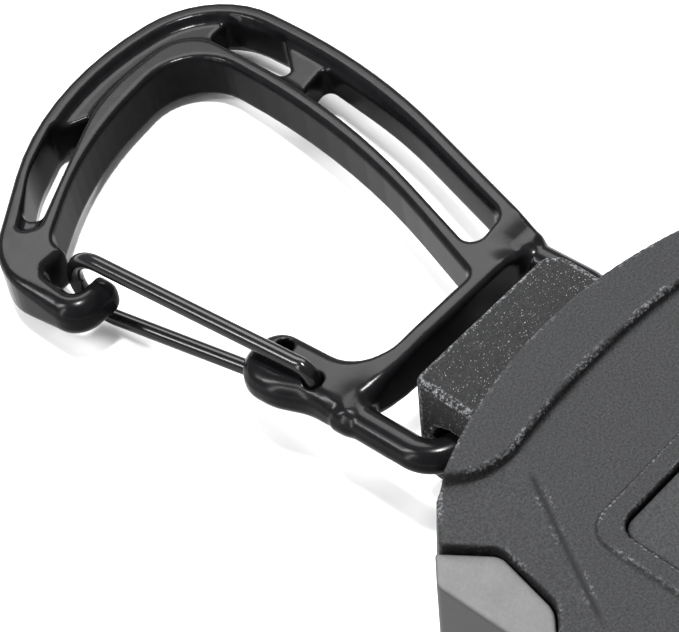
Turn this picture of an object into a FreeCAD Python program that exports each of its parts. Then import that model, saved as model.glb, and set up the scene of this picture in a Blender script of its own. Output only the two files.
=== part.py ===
import FreeCAD, Part
import math
import os
import re

import Sketcher
from FreeCAD import Placement, Rotation, Vector

# Retractable badge reel: a two-shell case with a spring-driven cord spool inside, hung from a
# wire-gate carabiner whose eye passes through a lug on the case.
# Frame: the reel lies on its back. +Z points out of the front face, +Y towards the carabiner,
# and the origin is the spool axis at the back face. Millimetres and degrees throughout.

DIMENSIONS = [
    # case
    ("case_width", 50.0, "across the flats"),
    ("crown_y", 30.0, "spool axis to the crown of the top and bottom arcs"),
    ("shoulder_x", 18.8, "where an arc ends and a corner flat starts"),
    ("shoulder_y", 25.9, ""),
    ("flat_end_y", 20.1, "where a corner flat meets the side"),
    ("case_depth", 18.4, "back face to main front surface"),
    ("part_plane", 9.2, "height of the joint between the shells"),
    ("back_wall", 1.8, "rear shell floor"),
    ("front_wall", 2.4, "front shell roof"),
    ("bay_radius", 22.2, "round bay for the spool"),
    ("edge_chamfer", 0.8, "around the back face"),
    # front face relief
    ("crescent_rise", 0.8, "raised bands at top and bottom"),
    ("crescent_root", 1.2, "how deep the bands start below the front surface"),
    ("bezel_half_x", 14.2, "raised bezel around the centre plate"),
    ("bezel_half_y", 14.5, ""),
    ("bezel_width", 1.9, ""),
    ("bezel_rise", 0.4, ""),
    ("bezel_corner", 2.6, ""),
    ("plate_thick", 1.05, "centre plate"),
    ("plate_seat", 1.2, "depth of its seat below the front surface"),
    ("plate_gap", 0.15, ""),
    ("facet_slope", 4.0, "fall of each corner facet, degrees"),
    # corner inserts
    ("insert_floor", 10.0, "height of the insert's underside"),
    ("insert_recess", 0.9, "below the facet"),
    ("insert_gap", 0.15, ""),
    # lug
    ("lug_left", 9.6, "from the case's middle"),
    ("lug_right", 8.45, ""),
    ("lug_top_y", 36.0, ""),
    ("lug_root_y", 27.0, ""),
    ("lug_half_depth", 6.7, ""),
    ("lug_corner_left", 0.8, ""),
    ("lug_corner_right", 2.0, ""),
    ("lug_edge", 0.5, ""),
    ("lug_bore_radius", 2.4, "loose round the carabiner's bar"),
    # fasteners
    ("screw_x", 15.6, ""),
    ("screw_y", 21.6, ""),
    ("screw_shank_radius", 1.0, ""),
    ("screw_hole_radius", 1.15, ""),
    ("screw_head_radius", 1.9, ""),
    ("screw_head_height", 1.2, ""),
    ("screw_sink", 0.4, "head below the back face"),
    ("screw_tip", 14.0, "height that the screws reach"),
    ("counterbore_radius", 2.05, ""),
    # spool and its bearings
    ("arbor_radius", 2.0, ""),
    ("arbor_seat_radius", 2.05, "in the front shell"),
    ("arbor_base", 0.8, ""),
    ("arbor_tip", 15.8, ""),
    ("boss_radius", 5.0, "thrust faces in both shells"),
    ("boss_rise", 0.8, ""),
    ("washer_thick", 0.4, ""),
    ("washer_radius", 4.0, ""),
    ("thrust_gap", 0.1, ""),
    ("spool_bore_radius", 2.06, ""),
    ("flange_radius", 21.0, ""),
    ("flange_thick", 1.0, ""),
    ("barrel_radius", 15.2, ""),
    ("barrel_wall", 1.2, ""),
    ("channel_width", 4.2, "between the flanges"),
    ("hub_radius", 4.2, ""),
    ("hub_height", 1.5, "above the web"),
    ("cover_thick", 0.8, ""),
    # spring
    ("spring_thick", 0.25, ""),
    ("spring_width", 7.6, ""),
    ("spring_turns", 9, ""),
    ("spring_outer_radius", 13.6, ""),
    # cord and its end
    ("cord_radius", 0.6, ""),
    ("winding_radius", 18.3, ""),
    ("winding_width", 3.9, ""),
    ("cord_line_radius", 19.0, "distance of the leaving cord from the axis"),
    ("bushing_radius", 3.0, ""),
    ("bushing_bore", 0.9, ""),
    ("bushing_inner_y", 24.0, "distance below the axis"),
    ("bushing_lip_radius", 4.0, ""),
    ("bushing_lip", 1.0, ""),
    ("stop_gap", 0.1, ""),
    ("stop_radius", 3.4, ""),
    ("stop_length", 6.0, ""),
    ("tongue_half_thick", 1.6, ""),
    ("tongue_half_height", 2.9, ""),
    ("tongue_hole_radius", 1.7, ""),
    ("tongue_reach", 3.5, "barrel to hole"),
    ("ring_radius", 11.1, "middle of the ring's wire"),
    ("ring_wire_width", 1.8, ""),
    ("ring_wire_thick", 1.0, "each of two turns"),
    ("ring_droop", 20.5, "degrees"),
    # carabiner, in its own plane from the bar's axis
    ("bar_y", 31.85, "bar axis in the case"),
    ("droop", 6.4, "degrees that the carabiner hangs below the case's middle plane"),
    ("frame_thick", 5.0, ""),
    ("channel_depth", 0.9, "of the lightening channel in each face"),
    ("bar_radius", 1.5, ""),
    ("eye_half_width", 11.6, ""),
    ("eye_bend", 3.0, ""),
    ("eye_root", 10.0, "where the eye's arms enter the frame"),
    ("nose_taper", 4.0, "degrees"),
    ("hinge_taper", 2.9, "degrees"),
    ("wire_radius", 0.75, ""),
    ("wire_bend", 1.3, ""),
    ("leg_end_bend", 0.8, "at the back leg's end"),
    ("leg_end", 2.2, "how near to the middle plane the back leg comes, clear of its socket"),
    ("front_leg_nose", 3.8, "front gate leg from the middle plane, at the nose"),
    ("back_leg_nose", 3.6, "back gate leg, at the nose"),
    ("leg_hinge", 3.15, "both legs, at the hinge"),
    ("pivot_x", -11.5, "front gate pivot"),
    ("pivot_u", 14.0, ""),
    ("back_socket_x", -10.1, "socket of the back leg"),
    ("back_socket_u", 18.7, ""),
    ("socket_radius", 0.85, ""),
    ("socket_depth", 1.9, ""),
    ("gate_tip_x", -13.7, ""),
    ("gate_tip_u", 42.0, ""),
]

XY, XZ, YZ = "XY_Plane", "XZ_Plane", "YZ_Plane"
FACET_BOX = (60.0, 30.0, 10.0)
# Where each tapered face starts (x, u), and the box that cuts it.
TAPERS = {"nose": ((-26.0, 46.0), (17.0, 12.0, 8.0)), "hinge": ((-2.0, 8.5), (30.0, 14.0, 8.0))}
SCREW_SLOT = (2.4, 0.5, 0.9)
OVERSHOOT = 2.0
CORNERS = [(-1, 1, "upper_left"), (1, 1, "upper_right"), (-1, -1, "lower_left"), (1, -1, "lower_right")]

doc = FreeCAD.newDocument("badge_reel")
sheet = doc.addObject("Spreadsheet::Sheet", "Dimensions")
for row, (alias, size, note) in enumerate(DIMENSIONS, start=1):
    sheet.set(f"A{row}", alias)
    sheet.set(f"B{row}", str(size))
    sheet.setAlias(f"B{row}", alias)
    sheet.set(f"C{row}", note)
doc.recompute()


def dim(alias):
    return float(sheet.get(alias))


def bind(thing, prop, formula):
    """Drive one property from the sheet; the formula's words are the sheet's aliases."""
    thing.setExpression(prop, re.sub(r"[a-z_]{3,}", lambda word: "Dimensions." + word.group(), formula))


# ---------------------------------------------------------------- outlines

def rounded(corners):
    """Closed outline through (x, y, radius) corners: straight runs joined by tangent arcs."""
    count = len(corners)
    ends = []
    for i, (x, y, radius) in enumerate(corners):
        here = Vector(x, y, 0)
        before = (Vector(*corners[i - 1][:2], 0) - here).normalize()
        after = (Vector(*corners[(i + 1) % count][:2], 0) - here).normalize()
        half = before.getAngle(after) / 2
        reach = radius / math.tan(half)
        middle = here + (before + after).normalize() * (radius / math.sin(half) - radius)
        ends.append((here + before * reach, middle, here + after * reach))
    edges = []
    for i, (start, middle, end) in enumerate(ends):
        if corners[i][2] > 0:
            edges.append(Part.Arc(start, middle, end))
        edges.append(Part.LineSegment(end, ends[(i + 1) % count][0]))
    return edges


def rounded_path(points):
    """Open wire through (point, radius) stations, with an arc at each inner station."""
    edges, start = [], points[0][0]
    for (before, _), (here, radius), (after, _) in zip(points, points[1:], points[2:]):
        back = (before - here).normalize()
        ahead = (after - here).normalize()
        half = back.getAngle(ahead) / 2
        reach = radius / math.tan(half)
        middle = here + (back + ahead).normalize() * (radius / math.sin(half) - radius)
        edges.append(Part.LineSegment(start, here + back * reach).toShape())
        edges.append(Part.Arc(here + back * reach, middle, here + ahead * reach).toShape())
        start = here + ahead * reach
    edges.append(Part.LineSegment(start, points[-1][0]).toShape())
    return Part.Wire(edges)


def polyline(points):
    corners = [Vector(x, y, 0) for x, y in points]
    return [Part.LineSegment(a, b) for a, b in zip(corners, corners[1:] + corners[:1])]


def case_outline():
    side, end_y = dim("case_width") / 2, dim("flat_end_y")
    x, y, crown = dim("shoulder_x"), dim("shoulder_y"), dim("crown_y")
    edges = []
    for way in (1, -1):
        points = [Vector(way * a, way * b, 0) for a, b in
                  ((side, -end_y), (side, end_y), (x, y), (0, crown), (-x, y), (-side, end_y))]
        edges += [Part.LineSegment(points[0], points[1]), Part.LineSegment(points[1], points[2]),
                  Part.Arc(points[2], points[3], points[4]), Part.LineSegment(points[4], points[5])]
    return edges


def arc_height(x):
    """y of the case's top arc at x."""
    crown, span, drop = dim("crown_y"), dim("shoulder_x"), dim("crown_y") - dim("shoulder_y")
    radius = (span ** 2 + drop ** 2) / (2 * drop)
    return crown - radius + math.sqrt(radius ** 2 - x ** 2)


def crescent_outline(way):
    """Raised band between the case's arc and a flatter line that turns up to meet it."""
    exit_x, turn, start, flat_crown = 17.3, (14.4, 24.0), (10.9, 23.5), 24.2
    points = [Vector(a, way * b, 0) for a, b in
              ((exit_x, arc_height(exit_x)), (0, dim("crown_y")), (-exit_x, arc_height(exit_x)),
               (-turn[0], turn[1]), (-start[0], start[1]), (0, flat_crown), start, turn)]
    return [Part.Arc(points[i], points[i + 1], points[(i + 2) % 8]) for i in (0, 2, 4, 6)]


def box_outline(half_x, half_y, radius, x=0.0, y=0.0):
    return rounded([(x + sx * half_x, y + sy * half_y, radius)
                    for sx, sy in ((1, 1), (-1, 1), (-1, -1), (1, -1))])


def insert_corners(grow):
    """Insert outline in the upper left corner; grow widens the sides inside the case."""
    side, end_y = dim("case_width") / 2, dim("flat_end_y")
    slope = (dim("shoulder_y") - end_y) / (side - dim("shoulder_x"))
    top_x = -22.0 + grow
    top_y = end_y + slope * (side + top_x)
    return [(-side, end_y), (-side, 8.0 - grow), (-22.2, 10.5 - grow),
            (-20.4 + grow, 12.2 - grow), (-19.1 + grow, 18.6 + grow), (top_x, top_y)]


# ---------------------------------------------------------------- PartDesign helpers

def new_body(label):
    body = doc.addObject("PartDesign::Body", label)
    body.Label = label
    return body


def plane_of(body, role):
    return next(feature for feature in body.Origin.OriginFeatures if feature.Role == role)


def sketch_on(body, name, edges=(), role=XY, lift=None):
    sketch = body.newObject("Sketcher::SketchObject", f"{body.Name}_{name}")
    sketch.AttachmentSupport = (plane_of(body, role), [""])
    sketch.MapMode = "FlatFace"
    if lift:
        bind(sketch, ".AttachmentOffset.Base.z", lift)
    if edges:
        sketch.addGeometry(list(edges), False)
    return sketch


def add_circle(sketch, x, y, radius):
    """Circle whose radius follows the sheet; radius is an alias."""
    size = dim(radius)
    index = sketch.addGeometry(Part.Circle(Vector(x, y, 0), Vector(0, 0, 1), size), False)
    number = sketch.addConstraint(Sketcher.Constraint("Radius", index, size))
    sketch.renameConstraint(number, f"radius_{index}")
    bind(sketch, f".Constraints.radius_{index}", radius)


def extrude(kind, body, name, sketch, length=None, reverse=False, both=False):
    """Pad or Pocket; no length means right through, and a cut that removes nothing stops the run."""
    before = body.Shape.Volume if kind == "Pocket" else 0.0
    feature = body.newObject(f"PartDesign::{kind}", f"{body.Name}_{name}")
    feature.Profile = sketch
    if length:
        bind(feature, "Length", length)
    else:
        feature.Type = "ThroughAll"
    feature.Reversed = reverse
    if both:
        feature.SideType = "Symmetric"
    doc.recompute()
    if kind == "Pocket" and body.Shape.Volume > before - 1e-6:
        raise RuntimeError(f"{feature.Name} cuts nothing")
    return feature


def revolve(body, name, profile, role=XZ):
    """Full turn of a closed profile about the sketch's vertical axis."""
    sketch = sketch_on(body, f"{name}_profile", profile, role)
    feature = body.newObject("PartDesign::Revolution", f"{body.Name}_{name}")
    feature.Profile = sketch
    feature.ReferenceAxis = (sketch, ["V_Axis"])
    feature.Angle = 360
    doc.recompute()
    return feature


def subtract_solid(kind, body, name, placement, **sizes):
    """Subtractive primitive at a placement; a size is a formula, or a number where only reach matters."""
    before = body.Shape.Volume
    feature = body.newObject(f"PartDesign::Subtractive{kind}", f"{body.Name}_{name}")
    feature.AttachmentSupport = (plane_of(body, XY), [""])
    feature.MapMode = "FlatFace"
    feature.AttachmentOffset = placement
    for prop, size in sizes.items():
        if isinstance(size, str):
            bind(feature, prop, size)
        else:
            setattr(feature, prop, size)
    doc.recompute()
    if body.Shape.Volume > before - 1e-6:
        raise RuntimeError(f"{feature.Name} cuts nothing")
    return feature


def edges_where(shape, test):
    return [f"Edge{i}" for i, edge in enumerate(shape.Edges, start=1) if test(edge)]


def dress(kind, body, name, size_prop, size, test):
    """Fillet or Chamfer on the edges of the body's present shape that pass the test."""
    base = body.Tip
    feature = body.newObject(f"PartDesign::{kind}", f"{body.Name}_{name}")
    feature.Base = (base, edges_where(base.Shape, test))
    bind(feature, size_prop, size)
    doc.recompute()
    return feature


def facet_placement(way_x, way_y, drop):
    """Tilted box with its edge on the crease line, falling away towards one corner of the case."""
    crease_top, crease_foot = Vector(12.2, 21.7, 0), Vector(20.0, 7.5, 0)
    run = crease_foot - crease_top
    outward = Vector(-way_x * run.y, way_y * run.x, 0).normalize()
    slope = math.radians(dim("facet_slope"))
    across = outward * math.cos(slope) - Vector(0, 0, math.sin(slope))
    upward = outward * math.sin(slope) + Vector(0, 0, math.cos(slope))
    along = across.cross(upward)
    middle = (crease_top + crease_foot) * 0.5
    start = Vector(way_x * middle.x, way_y * middle.y, dim("case_depth") - drop) - along * FACET_BOX[0] / 2
    return Placement(start, Rotation(along, across, upward, "XYZ"))


def cut_facet(body, name, way_x, way_y, drop):
    length, width, height = FACET_BOX
    subtract_solid("Box", body, name, facet_placement(way_x, way_y, drop),
                   Length=length, Width=width, Height=height)


def lug_outline():
    left, right, root, top = -dim("lug_left"), dim("lug_right"), dim("lug_root_y"), dim("lug_top_y")
    return rounded([(right, top, dim("lug_corner_right")), (left, top, dim("lug_corner_left")),
                    (left, root, 0.0), (right, root, 0.0)])


def round_lug(body, height):
    """Round the lug's outer edges on its face at that height."""
    dress("Fillet", body, "lug_rounding", "Radius", "lug_edge",
          lambda edge: abs(edge.BoundBox.ZMin - height) < 0.01 and edge.BoundBox.ZLength < 0.01
          and edge.BoundBox.YMax > dim("crown_y") + 0.5)


def cut_lug_bore(body):
    place = Placement(Vector(-dim("lug_left") - 1, dim("bar_y"), dim("part_plane")),
                      Rotation(Vector(0, 1, 0), 90))
    subtract_solid("Cylinder", body, "lug_bore", place,
                   Radius="lug_bore_radius", Height="lug_left + lug_right + 2")


def cut_outlet(body):
    place = Placement(Vector(0, -dim("bay_radius") + 2, dim("part_plane")), Rotation(Vector(1, 0, 0), 90))
    subtract_solid("Cylinder", body, "outlet", place, Radius="bushing_radius", Height="12")


# ---------------------------------------------------------------- case

def make_rear_shell():
    body = new_body("rear_shell")
    extrude("Pad", body, "block", sketch_on(body, "outline", case_outline()), "part_plane")
    dress("Chamfer", body, "back_edge", "Size", "edge_chamfer", lambda edge: edge.BoundBox.ZMax < 0.01)
    lug = sketch_on(body, "lug_outline", lug_outline(), lift="part_plane")
    extrude("Pad", body, "lug", lug, "lug_half_depth", reverse=True)
    round_lug(body, dim("part_plane") - dim("lug_half_depth"))
    bay = sketch_on(body, "bay_outline", lift="part_plane")
    add_circle(bay, 0, 0, "bay_radius")
    extrude("Pocket", body, "bay", bay, "part_plane - back_wall")
    boss = sketch_on(body, "boss_outline", lift="back_wall - 0.5")
    add_circle(boss, 0, 0, "boss_radius")
    extrude("Pad", body, "boss", boss, "boss_rise + 0.5")
    seat = sketch_on(body, "arbor_outline", lift="back_wall + boss_rise")
    add_circle(seat, 0, 0, "arbor_radius")
    extrude("Pocket", body, "arbor_seat", seat, "back_wall + boss_rise - arbor_base")
    cut_lug_bore(body)
    cut_outlet(body)
    holes = sketch_on(body, "screw_holes", lift="part_plane")
    bores = sketch_on(body, "screw_sinks")
    for way_x, way_y, _ in CORNERS:
        add_circle(holes, way_x * dim("screw_x"), way_y * dim("screw_y"), "screw_hole_radius")
        add_circle(bores, way_x * dim("screw_x"), way_y * dim("screw_y"), "counterbore_radius")
    extrude("Pocket", body, "screw_clearance", holes, "part_plane")
    extrude("Pocket", body, "counterbores", bores, "screw_sink + screw_head_height", reverse=True)
    return body


def make_front_shell():
    body = new_body("front_shell")
    block = sketch_on(body, "outline", case_outline(), lift="part_plane")
    extrude("Pad", body, "block", block, "case_depth - part_plane")
    for way_x, way_y, corner in CORNERS:
        cut_facet(body, f"facet_{corner}", way_x, way_y, 0.0)
    for way, name in ((1, "top"), (-1, "bottom")):
        band = sketch_on(body, f"crescent_{name}", crescent_outline(way), lift="case_depth - crescent_root")
        extrude("Pad", body, f"band_{name}", band, "crescent_root + crescent_rise")
    half_x, half_y, width = dim("bezel_half_x"), dim("bezel_half_y"), dim("bezel_width")
    corner = dim("bezel_corner")
    bezel = sketch_on(body, "bezel_outline", box_outline(half_x, half_y, corner), lift="case_depth - 0.5")
    extrude("Pad", body, "bezel", bezel, "bezel_rise + 0.5")
    seat = sketch_on(body, "plate_seat_outline",
                     box_outline(half_x - width, half_y - width, corner - width / 2),
                     lift="case_depth + bezel_rise")
    extrude("Pocket", body, "plate_seat", seat, "bezel_rise + plate_seat")
    for way_x, way_y, name in CORNERS:
        outline = polyline([(-way_x * x, way_y * y) for x, y in widened_insert()])
        sketch = sketch_on(body, f"insert_{name}", outline, lift="case_depth + 1")
        extrude("Pocket", body, f"insert_pocket_{name}", sketch, "case_depth + 1 - insert_floor")
    lug = sketch_on(body, "lug_outline", lug_outline(), lift="part_plane")
    extrude("Pad", body, "lug", lug, "lug_half_depth")
    round_lug(body, dim("part_plane") + dim("lug_half_depth"))
    bay = sketch_on(body, "bay_outline", lift="part_plane")
    add_circle(bay, 0, 0, "bay_radius")
    extrude("Pocket", body, "bay", bay, "case_depth - front_wall - part_plane", reverse=True)
    boss = sketch_on(body, "boss_outline", lift="case_depth - front_wall + 0.3")
    add_circle(boss, 0, 0, "boss_radius")
    extrude("Pad", body, "boss", boss, "0.3 + boss_rise / 2", reverse=True)
    seat = sketch_on(body, "arbor_outline", lift="case_depth - front_wall - boss_rise / 2")
    add_circle(seat, 0, 0, "arbor_seat_radius")
    extrude("Pocket", body, "arbor_seat", seat, "0.7", reverse=True)
    cut_lug_bore(body)
    cut_outlet(body)
    holes = sketch_on(body, "screw_holes", lift="part_plane")
    for way_x, way_y, _ in CORNERS:
        add_circle(holes, way_x * dim("screw_x"), way_y * dim("screw_y"), "screw_shank_radius")
    extrude("Pocket", body, "screw_pilots", holes, "screw_tip + 0.5 - part_plane", reverse=True)
    return body


def widened_insert():
    """Insert outline grown by its gap and carried past the case's outside."""
    inner = insert_corners(dim("insert_gap"))[1:]
    outside = dim("case_width") / 2 + OVERSHOOT
    above = dim("crown_y") + OVERSHOOT
    return [(-outside, above), (-outside, inner[0][1])] + inner + [(inner[-1][0], above)]


def make_insert(way_x, way_y, name):
    body = new_body(f"corner_insert_{name}")
    outline = polyline([(-way_x * x, way_y * y) for x, y in insert_corners(0.0)])
    sketch = sketch_on(body, "outline", outline, lift="insert_floor")
    extrude("Pad", body, "block", sketch, "case_depth - insert_floor")
    cut_facet(body, "top_face", way_x, way_y, dim("insert_recess"))
    return body


def make_centre_plate():
    body = new_body("centre_plate")
    shrink = dim("bezel_width") + dim("plate_gap")
    outline = box_outline(dim("bezel_half_x") - shrink, dim("bezel_half_y") - shrink,
                          dim("bezel_corner") - dim("bezel_width") / 2 - dim("plate_gap"))
    sketch = sketch_on(body, "outline", outline, lift="case_depth - plate_seat")
    extrude("Pad", body, "sheet", sketch, "plate_thick")
    dress("Chamfer", body, "edge", "Size", "plate_gap",
          lambda edge: edge.BoundBox.ZMin > dim("case_depth") - dim("plate_seat") + dim("plate_thick") - 0.01)
    return body


def make_case_screws():
    """Four screws in one node, each a head, a shank and a cross recess."""
    screws = []
    for way_x, way_y, name in CORNERS:
        head = doc.addObject("Part::Cylinder", f"head_{name}")
        bind(head, "Radius", "screw_head_radius")
        bind(head, "Height", "screw_head_height")
        bind(head, ".Placement.Base.z", "screw_sink")
        shank = doc.addObject("Part::Cylinder", f"shank_{name}")
        bind(shank, "Radius", "screw_shank_radius")
        bind(shank, "Height", "screw_tip - screw_sink - 0.5")
        bind(shank, ".Placement.Base.z", "screw_sink + 0.5")
        slots = []
        length, width, _ = SCREW_SLOT
        for turn in (0, 90):
            slot = doc.addObject("Part::Box", f"slot_{name}_{turn}")
            slot.Length, slot.Width, slot.Height = SCREW_SLOT
            centred = Placement(Vector(-length / 2, -width / 2, dim("screw_sink") - 0.2), Rotation())
            slot.Placement = Placement(Vector(0, 0, 0), Rotation(Vector(0, 0, 1), turn)).multiply(centred)
            slots.append(slot)
        solid = doc.addObject("Part::MultiFuse", f"blank_{name}")
        solid.Shapes = [head, shank]
        recess = doc.addObject("Part::MultiFuse", f"recess_{name}")
        recess.Shapes = slots
        screw = doc.addObject("Part::Cut", f"screw_{name}")
        screw.Base, screw.Tool = solid, recess
        screw.Placement = Placement(Vector(way_x * dim("screw_x"), way_y * dim("screw_y"), 0), Rotation())
        screws.append(screw)
    group = doc.addObject("Part::Compound", "case_screws")
    group.Links = screws
    return group


# ---------------------------------------------------------------- spool, spring and cord

def tube(label, outer, inner, base, height):
    """Plain ring: outer cylinder less inner cylinder; all sizes are formulas."""
    parts = []
    for name, radius in (("outer", outer), ("inner", inner)):
        cylinder = doc.addObject("Part::Cylinder", f"{label}_{name}")
        bind(cylinder, "Radius", radius)
        bind(cylinder, "Height", height)
        bind(cylinder, ".Placement.Base.z", base)
        parts.append(cylinder)
    ring = doc.addObject("Part::Cut", label)
    ring.Base, ring.Tool = parts
    return ring


def make_arbor():
    body = new_body("arbor")
    disc = sketch_on(body, "section", lift="arbor_base")
    add_circle(disc, 0, 0, "arbor_radius")
    extrude("Pad", body, "post", disc, "arbor_tip - arbor_base")
    slot = sketch_on(body, "slot", box_outline(dim("arbor_radius") + 1, 0.25, 0.0), lift="arbor_tip")
    extrude("Pocket", body, "spring_slot", slot, "spring_width + 2.4")
    return body


def spool_base():
    return dim("back_wall") + dim("boss_rise") + dim("washer_thick") + dim("thrust_gap")


def spool_top():
    return dim("case_depth") - dim("front_wall") - dim("boss_rise") / 2 - dim("washer_thick") - dim("thrust_gap")


def make_spool():
    body = new_body("spool")
    base, top, middle = spool_base(), spool_top(), dim("part_plane")
    barrel, flange, thick = dim("barrel_radius"), dim("flange_radius"), dim("flange_thick")
    half, bore, hub = dim("channel_width") / 2, dim("spool_bore_radius"), dim("hub_radius")
    web, cavity = base + thick, barrel - dim("barrel_wall")
    hub_top = web + dim("hub_height")
    profile = [(bore, base), (barrel, base), (barrel, middle - half - thick), (flange, middle - half - thick),
               (flange, middle - half), (barrel, middle - half), (barrel, middle + half),
               (flange, middle + half), (flange, middle + half + thick), (barrel, middle + half + thick),
               (barrel, top), (cavity, top), (cavity, web), (hub, web), (hub, hub_top), (bore, hub_top)]
    revolve(body, "turned", polyline(profile))
    return body


def make_mainspring():
    """Spiral of semicircles: each half turn is a little larger, about a centre stepped aside."""
    turns, thick = int(dim("spring_turns")), dim("spring_thick")
    start = dim("arbor_radius") + 0.1
    step = (dim("spring_outer_radius") - start - thick) / (2 * turns)
    inner, outer = [], []
    for edges, offset in ((inner, 0.0), (outer, thick)):
        for i in range(2 * turns):
            side = 1 if i % 2 == 0 else -1
            radius = start + i * step + offset + step / 2
            centre = side * step / 2
            edges.append(Part.Arc(Vector(centre - side * radius, 0, 0), Vector(centre, side * radius, 0),
                                  Vector(centre + side * radius, 0, 0)).toShape())
    ends = []
    for index, at in ((0, 0), (-1, -1)):
        ends.append(Part.LineSegment(inner[index].Vertexes[at].Point, outer[index].Vertexes[at].Point).toShape())
    face = Part.Face(Part.Wire(Part.__sortEdges__(inner + outer + ends)))
    spring = doc.addObject("Part::Feature", "mainspring")
    spring.Shape = face.extrude(Vector(0, 0, dim("spring_width")))
    height = spool_base() + dim("flange_thick") + dim("hub_height") + 0.3
    spring.Placement = Placement(Vector(0, 0, height), Rotation())
    return spring


def sweep(label, wire, radius):
    """Round rod of one radius along a wire, as a Part sweep of a bound circle."""
    spine = doc.addObject("Part::Feature", f"{label}_spine")
    spine.Shape = wire
    start = wire.Edges[0].valueAt(wire.Edges[0].FirstParameter)
    ahead = wire.Edges[0].tangentAt(wire.Edges[0].FirstParameter)
    section = doc.addObject("Part::Circle", f"{label}_section")
    bind(section, "Radius", radius)
    section.Placement = Placement(start, Rotation(Vector(0, 0, 1), ahead))
    rod = doc.addObject("Part::Sweep", label)
    rod.Sections = [section]
    rod.Spine = (spine, [f"Edge{i + 1}" for i in range(len(wire.Edges))])
    rod.Solid = True
    rod.Frenet = False
    doc.recompute()
    return rod


def make_cord_run():
    """Cord from the winding's side to the bushing: a tangent run, then an arc to the outlet's axis."""
    line, corner_y, height = dim("cord_line_radius"), dim("bay_radius") - 0.2, dim("part_plane")
    angle = math.acos(line / corner_y)
    tangent = Vector(line * math.sin(angle), -line * math.cos(angle), height)
    corner = Vector(0, -corner_y, height)
    mouth = Vector(0, -dim("bushing_inner_y"), height)
    return sweep("cord_run", rounded_path([(tangent, 0), (corner, 3.0), (mouth, 0)]), "cord_radius")


def lying(label):
    """Body whose own Z axis points along -Y of the reel, on the outlet's axis."""
    body = new_body(label)
    body.Placement = Placement(Vector(0, 0, dim("part_plane")), Rotation(Vector(1, 0, 0), 90))
    return body


def make_outlet_bushing():
    body = lying("outlet_bushing")
    inner, bore, outer = dim("bushing_inner_y"), dim("bushing_bore"), dim("bushing_radius")
    face, lip = dim("crown_y"), dim("bushing_lip_radius")
    end = face + dim("bushing_lip")
    bevel, mouth, throat = 0.3, 0.7, 0.6
    profile = [(bore + throat, inner), (outer, inner), (outer, face), (lip, face), (lip, end - bevel),
               (lip - bevel, end), (bore + mouth, end), (bore, end - mouth), (bore, inner + throat)]
    revolve(body, "turned", polyline(profile))
    return body


def make_cord_lead():
    body = lying("cord_lead")
    section = sketch_on(body, "section", lift="bushing_inner_y")
    add_circle(section, 0, 0, "cord_radius")
    extrude("Pad", body, "cord", section, "crown_y + bushing_lip + stop_gap + stop_length - 1 - bushing_inner_y")
    return body


def stop_start():
    return dim("crown_y") + dim("bushing_lip") + dim("stop_gap")


def make_cord_stop():
    """Moulded end of the cord: a barrel that seats on the bushing and a tongue with a cross hole."""
    body = lying("cord_stop")
    start, radius, cord = stop_start(), dim("stop_radius"), dim("cord_radius")
    end = start + dim("stop_length")
    near_bevel, far_bevel, wall = 0.8, 1.2, 1.0
    profile = [(cord, start), (radius - near_bevel, start), (radius, start + near_bevel),
               (radius, end - far_bevel), (radius - far_bevel, end), (0, end), (0, end - wall), (cord, end - wall)]
    revolve(body, "barrel", polyline(profile))
    half = dim("tongue_half_height")
    hole = end + dim("tongue_reach")
    outline = rounded([(-half, end - 0.5, 0.0), (half, end - 0.5, 0.0),
                       (half, hole + half, half - 0.1), (-half, hole + half, half - 0.1)])
    tongue = sketch_on(body, "tongue_outline", outline, YZ)
    extrude("Pad", body, "tongue", tongue, "2 * tongue_half_thick", both=True)
    eye = sketch_on(body, "eye", role=YZ)
    add_circle(eye, 0, hole, "tongue_hole_radius")
    extrude("Pocket", body, "eye_hole", eye, both=True)
    return body


def make_split_ring():
    """Two flat turns pressed together, drooping from the tongue's hole to the table."""
    body = new_body("split_ring")
    width, thick, groove, bevel = dim("ring_wire_width") / 2, dim("ring_wire_thick"), 0.15, 0.2
    middle = dim("ring_radius")
    side = [(width - bevel, -thick), (width, -thick + bevel), (width, -groove), (width - groove, 0),
            (width, groove), (width, thick - bevel), (width - bevel, thick)]
    profile = [(middle + x, z) for x, z in side] + [(middle - x, z) for x, z in reversed(side)]
    revolve(body, "turns", polyline(profile))
    hole_y = -(stop_start() + dim("stop_length") + dim("tongue_reach"))
    hang = Placement(Vector(0, hole_y, dim("part_plane")), Rotation(Vector(1, 0, 0), dim("ring_droop")))
    body.Placement = hang.multiply(Placement(Vector(0, -middle, 0), Rotation()))
    return body


# ---------------------------------------------------------------- carabiner

def hang_carabiner(thing):
    thing.Placement = Placement(Vector(0, dim("bar_y"), dim("part_plane")),
                                Rotation(Vector(1, 0, 0), -dim("droop")))


# Corners (x, u, radius) in the carabiner's plane: x across it, u away from the bar.
NOSE = [(-12.7, 39.6, 0.8), (-12.6, 36.8, 1.2), (-18.6, 36.7, 2.8)]
OUTSIDE = [(-18.6, 47.9, 8.0), (1.0, 61.7, 29.0), (21.4, 57.8, 10.0), (21.3, 36.0, 73.0),
           (13.8, 11.7, 6.0), (13.1, 8.8, 0.6)]
HINGE_BLOCK = [(-13.1, 8.8, 1.0), (-13.1, 13.6, 6.0), (-14.4, 17.0, 6.0), (-14.5, 21.6, 2.8),
               (-8.5, 21.6, 2.8), (-8.1, 10.75, 4.2)]
INSIDE = [(5.3, 10.65, 1.2), (13.2, 32.8, 88.0), (13.7, 54.2, 5.5), (-2.37, 52.1, 34.0),
          (-12.8, 45.7, 2.0), (-12.9, 43.6, 0.4), (-16.1, 43.6, 0.8), (-15.9, 39.5, 0.8)]
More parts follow.
